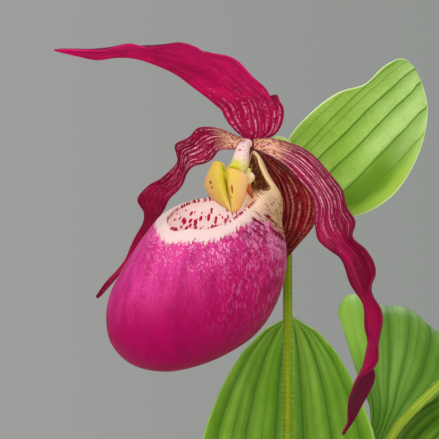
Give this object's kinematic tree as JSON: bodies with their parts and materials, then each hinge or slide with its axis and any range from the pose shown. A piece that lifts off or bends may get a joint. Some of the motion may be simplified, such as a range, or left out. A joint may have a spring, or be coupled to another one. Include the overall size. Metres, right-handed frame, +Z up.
{
  "type": "potted orchid plant",
  "caption": "Potted slipper orchid with one open pouched flower on an upright stem, pleated leaves and a second leafy shoot.",
  "frame": {"origin": "centre of the pot's underside", "axes": "+Z up along the pot's axis, the flower looks towards -X and -Y"},
  "size_m": [0.238, 0.1927, 0.4057],
  "materials": {
    "pot": "matt fired clay",
    "substrate": "loose bark and mineral grit",
    "flower_stem": "satin, finely hairy",
    "side_stem": "satin, finely hairy",
    "leaf": "satin, pleated",
    "bract": "satin, ribbed",
    "ovary": "satin, finely hairy",
    "dorsal_sepal": "satin petal",
    "synsepal": "satin petal",
    "petal": "satin petal",
    "lip": "soft gloss",
    "column": "satin",
    "staminode": "satin"
  },
  "bodies": {
    "root": {"pot": "pot", "substrate": "substrate", "flower_stem": "flower_stem", "side_stem": "side_stem", "leaf_1": "leaf", "leaf_2": "leaf", "leaf_3": "leaf", "leaf_4": "leaf", "side_leaf_1": "leaf", "side_leaf_2": "leaf", "side_leaf_3": "leaf", "side_leaf_4": "leaf", "bract": "bract", "ovary": "ovary", "dorsal_sepal": "dorsal_sepal", "synsepal": "synsepal", "petal_left": "petal", "petal_right": "petal", "lip": "lip", "column": "column", "staminode": "staminode"}
  },
  "joints": []
}
